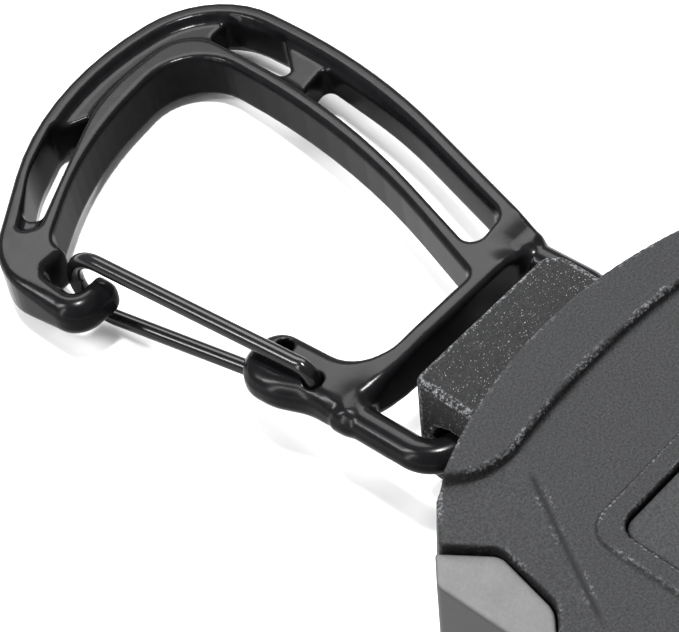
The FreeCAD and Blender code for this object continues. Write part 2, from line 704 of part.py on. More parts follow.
CHANNEL = [(-14.2, 49.0, 0.9), (1.1, 59.8, 27.0), (19.6, 56.2, 8.3), (19.55, 35.7, 70.0),
           (12.5, 13.1, 2.0), (7.7, 12.4, 1.2), (15.1, 34.9, 85.0), (15.2, 55.6, 4.5),
           (2.8, 55.8, 20.0), (-12.4, 47.7, 0.9)]
WINDOWS = [[(-12.3, 50.2, 0.8), (-7.6, 54.2, 14.0), (-2.3, 56.7, 1.0), (1.7, 54.9, 0.4), (-11.0, 48.8, 0.8)],
           [(15.7, 53.1, 0.8), (18.6, 53.2, 0.8), (19.5, 46.4, 1.2), (15.6, 41.8, 0.7)],
           [(15.2, 40.0, 0.8), (18.8, 40.6, 0.8), (17.2, 29.0, 60.0), (12.4, 13.2, 2.0),
            (7.9, 12.6, 1.2), (12.9, 28.0, 80.0)]]


def taper_faces(body, name, side):
    """Thin the nose towards its tip and the hinge block towards its end, on one side of the frame."""
    tilts = {"nose": Rotation(Vector(1, 0, 0), side * dim("nose_taper")),
             "hinge": Rotation(Vector(0, 1, 0), -side * dim("hinge_taper"))}
    for place, ((x, u), (length, width, height)) in TAPERS.items():
        start = Vector(x, u, side * dim("frame_thick") / 2)
        corner = Vector(0, -width, 0) if place == "nose" else Vector(-length, 0, 0)
        corner.z = 0 if side > 0 else -height
        subtract_solid("Box", body, f"{place}_taper_{name}",
                       Placement(start, tilts[place]).multiply(Placement(corner, Rotation())),
                       Length=length, Width=width, Height=height)


def make_carabiner_frame():
    body = new_body("carabiner_frame")
    outline = sketch_on(body, "outline", rounded(NOSE + OUTSIDE + HINGE_BLOCK + INSIDE))
    extrude("Pad", body, "plate", outline, "frame_thick", both=True)
    for name, side in (("front", 1), ("back", -1)):
        channel = sketch_on(body, f"channel_{name}", rounded(CHANNEL), lift=f"{side} * frame_thick / 2")
        extrude("Pocket", body, f"{name}_channel", channel, "channel_depth", reverse=side < 0)
        taper_faces(body, name, side)
    windows = sketch_on(body, "windows", [edge for window in WINDOWS for edge in rounded(window)])
    extrude("Pocket", body, "window_cuts", windows, both=True)
    sockets = sketch_on(body, "front_socket", lift="frame_thick / 2")
    add_circle(sockets, dim("pivot_x"), dim("pivot_u"), "socket_radius")
    extrude("Pocket", body, "front_pivot", sockets, "frame_thick / 2 + socket_depth")
    back = sketch_on(body, "back_socket")
    add_circle(back, dim("back_socket_x"), dim("back_socket_u"), "socket_radius")
    extrude("Pocket", body, "back_pivot", back, both=True)
    half, root, bend = dim("eye_half_width"), dim("eye_root"), dim("eye_bend")
    path = rounded_path([(Vector(-half, root, 0), 0), (Vector(-half, 0, 0), bend),
                         (Vector(half, 0, 0), bend), (Vector(half, root, 0), 0)])
    eye = sweep("eye_rod", path, "bar_radius")
    frame = doc.addObject("Part::Fuse", "carabiner_frame_whole")
    frame.Base, frame.Tool = body, eye
    hang_carabiner(frame)
    body.Label = "frame_forging"
    frame.Label = "carabiner_frame"
    return frame


def make_gate_wire():
    """One wire: front pivot pin, front leg, round end through the nose's notch, back leg."""
    front, rear, hinge = dim("front_leg_nose"), dim("back_leg_nose"), dim("leg_hinge")
    pivot = Vector(dim("pivot_x"), dim("pivot_u"), 0)
    back = Vector(dim("back_socket_x"), dim("back_socket_u"), 0)
    tip = Vector(dim("gate_tip_x"), dim("gate_tip_u"), 0)
    turn = (front + rear) / 2 - 0.1
    stations = [(pivot + Vector(0, 0, 0.2), 0), (pivot + Vector(0, 0, hinge), dim("wire_bend")),
                (tip + Vector(0, 0, front), turn), (tip - Vector(0, 0, rear), turn),
                (back - Vector(0, 0, hinge), dim("leg_end_bend")), (back - Vector(0, 0, dim("leg_end")), 0)]
    wire = sweep("gate_wire", rounded_path(stations), "wire_radius")
    hang_carabiner(wire)
    return wire


# ---------------------------------------------------------------- build and write

def build_parts():
    parts = [make_rear_shell(), make_front_shell(), make_centre_plate()]
    parts += [make_insert(*corner) for corner in CORNERS]
    parts += [make_case_screws(), make_arbor(), make_spool(), make_mainspring(), make_outlet_bushing()]
    parts.append(tube("rear_washer", "washer_radius", "spool_bore_radius", "back_wall + boss_rise", "washer_thick"))
    parts.append(tube("front_washer", "washer_radius", "spool_bore_radius",
                      "case_depth - front_wall - boss_rise / 2 - washer_thick", "washer_thick"))
    parts.append(tube("spring_cover", "barrel_radius - barrel_wall", "arbor_radius + 0.4",
                      "case_depth - front_wall - boss_rise / 2 - washer_thick - thrust_gap - cover_thick - 0.1",
                      "cover_thick"))
    parts.append(tube("cord_winding", "winding_radius", "barrel_radius", "part_plane - winding_width / 2",
                      "winding_width"))
    parts += [make_cord_run(), make_cord_lead(), make_cord_stop(), make_split_ring()]
    parts += [make_carabiner_frame(), make_gate_wire()]
    return parts


def write_steps(parts):
    doc.recompute()
    for thing in doc.Objects:
        if any(state in ("Invalid", "Error") for state in thing.State):
            raise RuntimeError(f"{thing.Name} is {thing.State}")
    for part in parts:
        shape = part.Shape
        if shape.isNull() or not shape.isValid():
            raise RuntimeError(f"{part.Label} has no valid shape")
    os.makedirs("parts", exist_ok=True)
    for part in parts:
        part.Shape.exportStep(f"parts/{part.Label}.step")
        box = part.Shape.BoundBox
        print(f"{part.Label:26s} {part.Shape.Volume:9.1f} mm3  x {box.XMin:.2f}..{box.XMax:.2f}"
              f"  y {box.YMin:.2f}..{box.YMax:.2f}  z {box.ZMin:.2f}..{box.ZMax:.2f}")


write_steps(build_parts())
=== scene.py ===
import math

import bmesh
import bpy
import numpy as np
from mathutils import Matrix, Vector


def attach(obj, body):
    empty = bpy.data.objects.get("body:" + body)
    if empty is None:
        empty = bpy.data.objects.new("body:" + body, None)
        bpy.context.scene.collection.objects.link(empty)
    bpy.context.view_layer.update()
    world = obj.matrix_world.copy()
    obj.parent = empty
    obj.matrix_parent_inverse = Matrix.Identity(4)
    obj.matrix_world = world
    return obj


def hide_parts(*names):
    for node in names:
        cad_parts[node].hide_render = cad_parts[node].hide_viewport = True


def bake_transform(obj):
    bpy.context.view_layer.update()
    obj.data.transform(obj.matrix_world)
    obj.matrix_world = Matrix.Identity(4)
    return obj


# Looks of the retractable badge reel. The forged, moulded and turned pieces are distance fields in
# millimetres, with true rounded edges, meshed here; wires and cords are tubes along smooth paths.
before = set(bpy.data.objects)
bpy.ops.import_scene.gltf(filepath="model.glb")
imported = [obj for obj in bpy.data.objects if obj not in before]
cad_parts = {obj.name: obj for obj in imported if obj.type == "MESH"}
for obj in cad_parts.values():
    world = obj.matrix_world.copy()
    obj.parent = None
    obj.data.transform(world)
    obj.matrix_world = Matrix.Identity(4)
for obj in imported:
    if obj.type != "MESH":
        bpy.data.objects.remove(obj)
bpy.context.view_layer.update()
MM = 0.001
PART_PLANE = 9.2
CASE_DEPTH = 18.4
BAR_Y, DROOP = 31.85, math.radians(6.4)


# ---------------------------------------------------------------- camera, floor and light

def look_basis(azimuth, elevation, roll):
    """Camera axes as columns, for a view from that azimuth and elevation, turned by roll about its line."""
    a, e, r = (math.radians(v) for v in (azimuth, elevation, roll))
    back = Vector((math.sin(a) * math.cos(e), -math.cos(a) * math.cos(e), math.sin(e)))
    right = (-back).cross(Vector((0, 0, 1))).normalized()
    up = right.cross(-back)
    across = right * math.cos(r) + up * math.sin(r)
    along = up * math.cos(r) - right * math.sin(r)
    return Matrix((across, along, back)).transposed()


def make_camera():
    camera = bpy.data.objects.new("camera", bpy.data.cameras.new("camera"))
    bpy.context.scene.collection.objects.link(camera)
    camera.data.lens = 149.25
    camera.data.sensor_width = 36.0
    camera.data.sensor_fit = "HORIZONTAL"
    camera.data.clip_start, camera.data.clip_end = 0.01, 20.0
    place = Vector((-0.11060, -0.06365, 0.19856))
    camera.matrix_world = Matrix.Translation(place) @ look_basis(-43.21, 50.75, -6.4).to_4x4()
    bpy.context.scene.camera = camera


def area_light(name, place, aim, size, power):
    light = bpy.data.lights.new(name, "AREA")
    light.shape = "RECTANGLE"
    light.size, light.size_y, light.energy = size[0], size[1], power
    lamp = bpy.data.objects.new(name, light)
    lamp.location = place
    lamp.rotation_euler = (Vector(aim) - Vector(place)).to_track_quat("-Z", "Y").to_euler()
    bpy.context.scene.collection.objects.link(lamp)


def light_studio():
    scene = bpy.context.scene
    scene.view_settings.view_transform = "Standard"
    world = bpy.data.worlds.new("studio")
    world.use_nodes = True
    background = world.node_tree.nodes["Background"]
    background.inputs["Color"].default_value = (1.0, 1.0, 1.0, 1.0)
    background.inputs["Strength"].default_value = 0.45
    scene.world = world
    middle = (0.0, 0.03, 0.01)
    area_light("far_softbox", (0.30, 0.34, 0.46), middle, (0.50, 0.30), 4.4)
    area_light("key", (-0.02, 0.06, 0.50), middle, (0.07, 0.07), 3.8)
    area_light("left_box", (-0.29, 0.27, 0.31), middle, (0.05, 0.22), 1.5)
    area_light("left_strip", (-0.36, 0.14, 0.12), middle, (0.03, 0.34), 0.9)


def make_floor():
    mesh = bpy.data.meshes.new("floor")
    half = 1.5
    low = -0.00005
    mesh.from_pydata([(-half, -half, low), (half, -half, low), (half, half, low), (-half, half, low)],
                     [], [(0, 1, 2, 3)])
    floor = bpy.data.objects.new("floor", mesh)
    bpy.context.scene.collection.objects.link(floor)
    paper = bpy.data.materials.new("floor_paper")
    paper.use_nodes = True
    shader = paper.node_tree.nodes["Principled BSDF"]
    shader.inputs["Base Color"].default_value = (0.84, 0.84, 0.84, 1.0)
    shader.inputs["Roughness"].default_value = 0.9
    shader.inputs["Specular IOR Level"].default_value = 0.1
    floor.data.materials.append(paper)


# ---------------------------------------------------------------- distance fields

def rounded(corners, steps=10):
    """Points of a closed outline through (x, y, radius) corners, with tangent arcs."""
    count, points = len(corners), []
    for i, (x, y, radius) in enumerate(corners):
        here = np.array((x, y), float)
        back = np.array(corners[i - 1][:2], float) - here
        ahead = np.array(corners[(i + 1) % count][:2], float) - here
        back, ahead = back / np.linalg.norm(back), ahead / np.linalg.norm(ahead)
        if radius <= 0:
            points.append(here)
            continue
        half = math.acos(np.clip(back @ ahead, -1, 1)) / 2
        middle = here + (back + ahead) / np.linalg.norm(back + ahead) * radius / math.sin(half)
        start, end = here + back * radius / math.tan(half), here + ahead * radius / math.tan(half)
        a0, a1 = (math.atan2(*(p - middle)[::-1]) for p in (start, end))
        turn = (a1 - a0 + math.pi) % (2 * math.pi) - math.pi
        for t in np.linspace(0, 1, steps):
            a = a0 + turn * t
            points.append(middle + radius * np.array((math.cos(a), math.sin(a))))
    return np.array(points)


def outline_distance(points, x, y):
    """Signed distance, negative inside, from a grid to a closed outline."""
    x, y = x[:, None], y[None, :]
    nearest = np.full((x.size, y.size), np.inf)
    inside = np.zeros(nearest.shape, bool)
    for (x0, y0), (x1, y1) in zip(points, np.roll(points, -1, axis=0)):
        dx, dy = x1 - x0, y1 - y0
        if dx * dx + dy * dy < 1e-12:
            continue
        t = np.clip(((x - x0) * dx + (y - y0) * dy) / (dx * dx + dy * dy), 0, 1)
        nearest = np.minimum(nearest, (x - x0 - t * dx) ** 2 + (y - y0 - t * dy) ** 2)
        if dy:
            inside ^= ((y0 > y) != (y1 > y)) & (x < dx * (y - y0) / dy + x0)
    return np.where(inside, -1, 1) * np.sqrt(nearest)


def both(a, b, r=0.0):
    """Intersection of two fields, its edge rounded to radius r."""
    reach = np.hypot(np.maximum(a + r, 0), np.maximum(b + r, 0))
    return np.minimum(np.maximum(a, b), -r) + reach


def either(a, b, r=0.0):
    """Union of two fields, its inner corner filleted to radius r."""
    return -both(-a, -b, r)


def less(a, b, r=0.0):
    return both(a, -b, r)


def eased(t):
    """0 to 1 with no kink at either end."""
    t = np.clip(t, 0, 1)
    return t * t * (3 - 2 * t)


class Grid:
    """Sample points of a field: x, y and z are its axes in millimetres."""

    def __init__(self, low, high, step):
        self.low, self.step = np.array(low, float), step
        self.x, self.y, self.z = (np.arange(a, b + step, step) for a, b in zip(low, high))

    def flat(self, points):
        return outline_distance(points, self.x, self.y)[:, :, None]

    @property
    def axes(self):
        return self.x[:, None, None], self.y[None, :, None], self.z[None, None, :]


def surface(field, grid):
    """Vertices and quads of a field's zero surface: one vertex in each cell that it crosses."""
    strides = np.array([(field.shape[1] - 1) * (field.shape[2] - 1), field.shape[2] - 1, 1])
    cells, spots, flips = [], [], []
    for axis in range(3):
        here = np.moveaxis(np.moveaxis(field, axis, 0)[:-1], 0, axis)
        after = np.moveaxis(np.moveaxis(field, axis, 0)[1:], 0, axis)
        where = np.argwhere((here < 0) != (after < 0))
        a, b = here[tuple(where.T)], after[tuple(where.T)]
        spot = where.astype(float)
        spot[:, axis] += a / (a - b)
        u, v = (axis + 1) % 3, (axis + 2) % 3
        ring = np.repeat(where[:, None, :], 4, axis=1)
        ring[:, (1, 2), u] -= 1
        ring[:, (2, 3), v] -= 1
        cells.append(ring @ strides)
        spots.append(spot)
        flips.append(a > 0)
    cells, spots, flips = np.concatenate(cells), np.concatenate(spots), np.concatenate(flips)
    used, index = np.unique(cells, return_inverse=True)
    index = index.reshape(-1)
    count = np.bincount(index)
    places = np.stack([np.bincount(index, np.repeat(spots[:, k], 4)) / count for k in range(3)], axis=1)
    quads = index.reshape(-1, 4)
    quads[flips] = quads[flips][:, ::-1]
    return grid.low + places * grid.step, quads, bend(field, places, grid.step)


def bend(field, places, step):
    """How sharply the surface bends at each vertex, per mm: above 0 on outer edges, below 0 in corners."""
    at = np.clip(np.rint(places).astype(int), 1, np.array(field.shape) - 2)
    total = -6.0 * field[tuple(at.T)]
    for axis in range(3):
        for way in (-1, 1):
            beside = at.copy()
            beside[:, axis] += way
            total = total + field[tuple(beside.T)]
    return total / step ** 2


# ---------------------------------------------------------------- objects

def new_object(name, vertices, faces, bends=None, transform=None):
    """Smooth-shaded object from millimetre vertices, optionally moved into the row frame."""
    vertices = np.asarray(vertices, float)
    if transform is not None:
        matrix = np.array(transform)
        vertices = vertices @ matrix[:3, :3].T + matrix[:3, 3]
    faces = np.asarray(faces)
    mesh = bpy.data.meshes.new(name)
    mesh.vertices.add(len(vertices))
    mesh.vertices.foreach_set("co", (vertices * MM).astype(np.float32).ravel())
    mesh.loops.add(faces.size)
    mesh.loops.foreach_set("vertex_index", faces.astype(np.int32).ravel())
    mesh.polygons.add(len(faces))
    mesh.polygons.foreach_set("loop_start", np.arange(0, faces.size, faces.shape[1], dtype=np.int32))
    mesh.update(calc_edges=True)
    mesh.shade_smooth()
    if bends is not None:
        add_values(mesh, "bend", bends)
    piece = bpy.data.objects.new(name, mesh)
    bpy.context.scene.collection.objects.link(piece)
    return piece


def add_values(mesh, name, values):
    """One number at each vertex, for materials to read."""
    mesh.attributes.new(name, "FLOAT", "POINT").data.foreach_set("value", np.asarray(values, np.float32))


def dress(piece, body, slot, look, *nodes):
    """Give a piece its body and material; it stands for the CAD nodes named. slot is not used."""
    piece.data.materials.clear()
    piece.data.materials.append(look)
    if nodes:
        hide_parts(*nodes)
    if body:
        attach(piece, body)
    return piece


def smooth_path(stations, spacing):
    """Points along straight runs and tangent arcs through (point, bend radius) stations."""
    points = [np.array(stations[0][0], float)]
    for (before, _), (here, radius), (after, _) in zip(stations, stations[1:], stations[2:]):
        here = np.array(here, float)
        back = np.array(before, float) - here
        ahead = np.array(after, float) - here
        back, ahead = back / np.linalg.norm(back), ahead / np.linalg.norm(ahead)
        half = math.acos(np.clip(back @ ahead, -1, 1)) / 2
        centre = here + (back + ahead) / np.linalg.norm(back + ahead) * radius / math.sin(half)
        start, end = here + back * radius / math.tan(half), here + ahead * radius / math.tan(half)
        a, b = start - centre, end - centre
        swing = math.pi - 2 * half
        for t in np.linspace(0, 1, max(6, int(radius * swing / spacing))):
            spoke = a * math.sin((1 - t) * swing) + b * math.sin(t * swing)
            points.append(centre + spoke / math.sin(swing))
    points.append(np.array(stations[-1][0], float))
    dense = [points[0]]
    for a, b in zip(points, points[1:]):
        count = max(1, round(np.linalg.norm(b - a) / spacing))
        for t in range(1, count + 1):
            dense.append(a + (b - a) * t / count)
    return np.array(dense)


SIDES, DOME = 28, 0.35


def tube(path, radius):
    """Vertices, quads and rings of a round rod along a path, its ends domed by a share of its radius."""
    path = np.asarray(path, float)
    ahead = np.gradient(path, axis=0)
    ahead /= np.linalg.norm(ahead, axis=1)[:, None]
    side = np.cross(ahead[0], (0.31, 0.72, 0.62))
    rings, turns = [], np.linspace(0, 2 * math.pi, SIDES, endpoint=False)
    for i, (point, way) in enumerate(zip(path, ahead)):
        side = side - way * (side @ way)
        side /= np.linalg.norm(side)
        other = np.cross(way, side)
        ends = [(0.0, 1.0)]
        if i in (0, len(path) - 1):
            sign = -1 if i == 0 else 1
            ends = [(sign * DOME * radius * math.sin(a), math.cos(a)) for a in (0, 0.5, 1.0, 1.35, 1.52)]
            ends = ends[::-1] if i == 0 else ends
        spokes = radius * (np.cos(turns)[:, None] * side + np.sin(turns)[:, None] * other)
        rings += [point + way * shift + spokes * scale for shift, scale in ends]
    grid = np.arange(len(rings) * SIDES).reshape(-1, SIDES)
    a, b = grid[:-1], grid[1:]
    quads = np.stack([a, np.roll(a, -1, 1), np.roll(b, -1, 1), b], axis=-1).reshape(-1, 4)
    return np.concatenate(rings), quads, grid


def rod(name, path, radius, transform=None):
    vertices, quads, grid = tube(path, radius)
    piece = new_object(name, vertices, quads, transform=transform)
    close_ends(piece, grid)
    return piece


def close_ends(piece, grid):
    work = bmesh.new()
    work.from_mesh(piece.data)
    work.verts.ensure_lookup_table()
    for ring in (grid[0][::-1], grid[-1]):
        face = work.faces.new([work.verts[int(i)] for i in ring])
        face.smooth = True
    work.to_mesh(piece.data)
    work.free()


def carabiner_transform():
    return Matrix.Translation((0, BAR_Y, PART_PLANE)) @ Matrix.Rotation(-DROOP, 4, "X")


# ---------------------------------------------------------------- materials

def look(name, colour, roughness, specular=0.5):
    """A node material, with its shader and a vector of object coordinates in millimetres."""
    material = bpy.data.materials.new(name)
    material.use_nodes = True
    tree = material.node_tree
    shader = tree.nodes["Principled BSDF"]
    shader.inputs["Base Color"].default_value = (*colour, 1.0)
    shader.inputs["Roughness"].default_value = roughness
    shader.inputs["Specular IOR Level"].default_value = specular
    coordinates = tree.nodes.new("ShaderNodeTexCoord")
    scale = tree.nodes.new("ShaderNodeVectorMath")
    scale.operation = "SCALE"
    scale.inputs["Scale"].default_value = 1 / MM
    tree.links.new(coordinates.outputs["Object"], scale.inputs[0])
    return material, tree, shader, scale.outputs[0]


def noise(tree, vector, per_mm, detail=2.0, roughness=0.5):
    node = tree.nodes.new("ShaderNodeTexNoise")
    node.inputs["Scale"].default_value = per_mm
    node.inputs["Detail"].default_value = detail
    node.inputs["Roughness"].default_value = roughness
    tree.links.new(vector, node.inputs["Vector"])
    return node.outputs["Fac"]


def ramp(tree, value, *stops):
    """Colour ramp through (position, grey or colour) stops."""
    node = tree.nodes.new("ShaderNodeValToRGB")
    elements = node.color_ramp.elements
    while len(elements) < len(stops):
        elements.new(0.5)
    for element, (place, colour) in zip(elements, stops):
        element.position = place
        element.color = (*(colour if isinstance(colour, tuple) else (colour,) * 3), 1.0)
    tree.links.new(value, node.inputs["Fac"])
    return node.outputs["Color"]


def mixed(tree, share, a, b):
    """Colour a turning into colour b by share; each is a socket or a colour."""
    node = tree.nodes.new("ShaderNodeMix")
    node.data_type = "RGBA"
    for socket, value in ((node.inputs["Factor"], share), (node.inputs["A"], a), (node.inputs["B"], b)):
        if isinstance(value, (tuple, float)):
            socket.default_value = (*value, 1.0) if isinstance(value, tuple) else value
        else:
            tree.links.new(value, socket)
    return node.outputs["Result"]


def bump(tree, shader, height, depth_mm):
    node = tree.nodes.new("ShaderNodeBump")
    node.inputs["Distance"].default_value = depth_mm * MM
    tree.links.new(height, node.inputs["Height"])
    tree.links.new(node.outputs["Normal"], shader.inputs["Normal"])


def shade(colour, factor):
    return tuple(c * factor for c in colour)


def value_of(tree, name):
    node = tree.nodes.new("ShaderNodeAttribute")
    node.attribute_name = name
    return node.outputs["Fac"]


def levelness(tree):
    """1 on a piece's level faces, falling to 0 on its walls."""
    coordinates = tree.nodes.new("ShaderNodeTexCoord")
    parts = tree.nodes.new("ShaderNodeSeparateXYZ")
    tree.links.new(coordinates.outputs["Normal"], parts.inputs[0])
    return product(tree, parts.outputs["Z"], 1.0, "ABSOLUTE")


def product(tree, a, b, operation="MULTIPLY"):
    node = tree.nodes.new("ShaderNodeMath")
    node.operation = operation
    for socket, value in zip(node.inputs, (a, b)):
        if isinstance(value, float):
            socket.default_value = value
        else:
            tree.links.new(value, socket)
    return node.outputs[0]


def multiplied(tree, a, b):
    """Two colours multiplied; each is a socket."""
    node = tree.nodes.new("ShaderNodeMix")
    node.data_type, node.blend_type = "RGBA", "MULTIPLY"
    node.inputs["Factor"].default_value = 1.0
    tree.links.new(a, node.inputs["A"])
    tree.links.new(b, node.inputs["B"])
    return node.outputs["Result"]


def worn_and_highlit(tree, vector, base, level, colour, wear_and_highlight, lug):
    """Coarse pits on walls, and pale patches along outer edges, all over the lug's: partly rubbed wear,
    partly painted highlight.
    """
    coarse = ramp(tree, noise(tree, vector, 2.2, 3.0, 0.7), (0.56, 0.0), (0.66, 0.5))
    pits = product(tree, ramp(tree, level, (0.5, 1.0), (0.96, 0.0)), coarse)
    base = mixed(tree, pits, base, shade(colour, 1.5))
    edges = ramp(tree, value_of(tree, "bend"), (0.25, 0.0), (0.7, 1.0))
    spread = ramp(tree, noise(tree, vector, 0.25, 2.0, 0.5), (0.42, 0.05), (0.62, 1.0))
    if lug:
        spread = product(tree, spread, value_of(tree, "lug"), "MAXIMUM")
    patches = ramp(tree, noise(tree, vector, 3.2, 3.0, 0.75), (0.5, 0.0), (0.6, 1.0))
    # Pale patches on outer edges: partly rubbed wear, partly painted highlight.
    rubbed_and_highlit = product(tree, product(tree, edges, product(tree, patches, spread)), wear_and_highlight)
    return mixed(tree, rubbed_and_highlit, base, shade(colour, 7.0))


def moulded(name, colour, roughness, specular, grain_mm, depth_mm, contrast, wall_shade=1.0, wear_and_highlight=0.0, lug=None):
    """Spark-eroded plastic: fine grain, mottling, coarse pits and painted shade on its walls (darker by the
    way they face), and pale flecks on edges that are partly wear and partly painted highlight. lug is the
    colour of the lug, which has bright flecks all over."""
    material, tree, shader, vector = look(name, colour, roughness, specular)
    mottle = noise(tree, vector, 0.35, 3.0, 0.6)
    base = ramp(tree, mottle, (0.3, shade(colour, 0.9)), (0.7, shade(colour, 1.1)))
    if lug:
        base = mixed(tree, value_of(tree, "lug"), base, lug)
    fine = noise(tree, vector, 1 / grain_mm, 2.0, 0.6)
    base = multiplied(tree, base, ramp(tree, fine, (0.32, 1 - contrast), (0.5, 1.0), (0.68, 1 + contrast)))
    level = levelness(tree)
    # Painted shade: walls darkened in colour by the way they face.
    if wall_shade < 1.0:
        base = multiplied(tree, base, ramp(tree, level, (0.45, wall_shade), (0.96, 1.0)))
    if wear_and_highlight:
        base = worn_and_highlit(tree, vector, base, level, colour, wear_and_highlight, bool(lug))
    if lug:
        # Painted shade: a darker line along each crease.
        base = mixed(tree, value_of(tree, "crease_shade"), base, shade(colour, 0.3))
        flecks = ramp(tree, noise(tree, vector, 8.0, 1.0, 0.5), (0.70, 0.0), (0.76, 1.0))
        base = mixed(tree, product(tree, flecks, value_of(tree, "lug")), base, (0.36, 0.36, 0.35))
    tree.links.new(base, shader.inputs["Base Color"])
    rough = ramp(tree, mottle, (0.2, roughness - 0.05), (0.8, roughness + 0.06))
    tree.links.new(rough, shader.inputs["Roughness"])
    bump(tree, shader, noise(tree, vector, 0.8 / grain_mm, 4.0, 0.62), depth_mm)
    return material


def coated(name, colour, roughness, specular, wall_shade_specular, ripple_mm, depth_mm):
    """Black coating on metal: satin film with a faint orange peel; its specular level is lowered on its
    walls, which paints shade on them.
    """
    material, tree, shader, vector = look(name, colour, roughness, specular)
    # Painted shade: specular level lowered on walls by the way they face.
    specular_with_wall_shade = ramp(tree, levelness(tree), (0.25, wall_shade_specular), (0.85, specular))
    tree.links.new(specular_with_wall_shade, shader.inputs["Specular IOR Level"])
    peel = noise(tree, vector, 1 / ripple_mm, 2.0, 0.5)
    rough = ramp(tree, noise(tree, vector, 0.5, 4.0, 0.6), (0.25, roughness * 0.85), (0.75, roughness * 1.2))
    tree.links.new(rough, shader.inputs["Roughness"])
    cloud = noise(tree, vector, 0.9, 3.0, 0.6)
    base = ramp(tree, cloud, (0.3, shade(colour, 0.8)), (0.7, shade(colour, 1.25)))
    tree.links.new(base, shader.inputs["Base Color"])
    bump(tree, shader, peel, depth_mm)
    return material


def metal(name, colour, roughness):
    """Bare or plated metal with fine drawn scratches."""
    material, tree, shader, vector = look(name, colour, roughness)
    shader.inputs["Metallic"].default_value = 1.0
    stretch = tree.nodes.new("ShaderNodeMapping")
    stretch.inputs["Scale"].default_value = (6.0, 0.6, 6.0)
    tree.links.new(vector, stretch.inputs["Vector"])
    lines = noise(tree, stretch.outputs["Vector"], 2.5, 3.0, 0.6)
    rough = ramp(tree, lines, (0.3, roughness * 0.7), (0.7, roughness * 1.4))
    tree.links.new(rough, shader.inputs["Roughness"])
    tree.links.new(ramp(tree, lines, (0.2, shade(colour, 0.8)), (0.8, colour)), shader.inputs["Base Color"])
    bump(tree, shader, lines, 0.004)
    return material


def braided(name, colour, pitch_mm):
    """Woven cord: two crossing diagonal waves along the cord."""
    material, tree, shader, vector = look(name, colour, 0.75, 0.3)
    heights = []
    for tilt in (1.0, -1.0):
        wave = tree.nodes.new("ShaderNodeTexWave")
        wave.bands_direction = "DIAGONAL"
        wave.inputs["Scale"].default_value = 1 / pitch_mm
        turn = tree.nodes.new("ShaderNodeMapping")
        turn.inputs["Scale"].default_value = (tilt, 1.0, tilt)
        tree.links.new(vector, turn.inputs["Vector"])
        tree.links.new(turn.outputs["Vector"], wave.inputs["Vector"])
        heights.append(wave.outputs["Fac"])
    weave = product(tree, heights[0], heights[1], "MAXIMUM")
    base = ramp(tree, weave, (0.2, shade(colour, 0.5)), (0.9, shade(colour, 1.6)))
    tree.links.new(base, shader.inputs["Base Color"])
    shader.inputs["Sheen Weight"].default_value = 0.3
    bump(tree, shader, weave, 0.08)
    return material


LOOKS = {
    "case_plastic": moulded("case_plastic", (0.0190, 0.0193, 0.0203), 0.62, 0.12, 0.20, 0.050, 0.45,
                            wall_shade=0.3, wear_and_highlight=0.8, lug=(0.0100, 0.0102, 0.0107)),
    "plate_plastic": moulded("plate_plastic", (0.024, 0.0244, 0.0254), 0.62, 0.12, 0.20, 0.040, 0.40,
                             wall_shade=0.5),
    "insert_rubber": moulded("insert_rubber", (0.090, 0.090, 0.091), 0.6, 0.2, 0.30, 0.004, 0.06, wall_shade=0.30),
    "spool_plastic": moulded("spool_plastic", (0.72, 0.72, 0.69), 0.4, 0.5, 0.5, 0.004, 0.05),
    "bushing_plastic": moulded("bushing_plastic", (0.02, 0.02, 0.022), 0.38, 0.5, 0.4, 0.008, 0.12),
    "carabiner_coating": coated("carabiner_coating", (0.004, 0.004, 0.0045), 0.20, 0.12, 0.02, 0.7, 0.003),
    "wire_coating": coated("wire_coating", (0.004, 0.004, 0.0045), 0.17, 0.28, 0.10, 0.5, 0.002),
    "screw_steel": metal("screw_steel", (0.45, 0.45, 0.46), 0.35),
    "pin_steel": metal("pin_steel", (0.60, 0.60, 0.61), 0.25),
    "spring_steel": metal("spring_steel", (0.35, 0.37, 0.42), 0.3),
    "ring_steel": metal("ring_steel", (0.62, 0.62, 0.63), 0.16),
    "cord": braided("cord", (0.03, 0.03, 0.032), 0.35),
}


# ---------------------------------------------------------------- carabiner

# Corners (x, u, radius) in the carabiner's plane: x across it, u away from the bar.
NOSE = [(-12.7, 39.6, 0.8), (-12.6, 36.8, 1.2), (-18.6, 36.7, 2.8)]
OUTSIDE = [(-18.6, 47.9, 8.0), (1.0, 61.7, 29.0), (21.4, 57.8, 10.0), (21.3, 36.0, 73.0),
           (13.8, 11.7, 6.0), (13.1, 8.8, 0.6)]
HINGE_BLOCK = [(-13.1, 8.8, 1.0), (-13.1, 13.6, 6.0), (-14.4, 17.0, 6.0), (-14.5, 21.6, 2.8),
               (-8.5, 21.6, 2.8), (-8.1, 10.75, 4.2)]
INSIDE = [(5.3, 10.65, 1.2), (13.2, 32.8, 88.0), (13.7, 54.2, 5.5), (-2.37, 52.1, 34.0),
          (-12.8, 45.7, 2.0), (-12.9, 43.6, 0.4), (-16.1, 43.6, 0.8), (-15.9, 39.5, 0.8)]
CHANNEL = [(-14.2, 49.0, 0.9), (1.1, 59.8, 27.0), (19.6, 56.2, 8.3), (19.55, 35.7, 70.0),
           (12.5, 13.1, 2.0), (7.7, 12.4, 1.2), (15.1, 34.9, 85.0), (15.2, 55.6, 4.5),
           (2.8, 55.8, 20.0), (-12.4, 47.7, 0.9)]
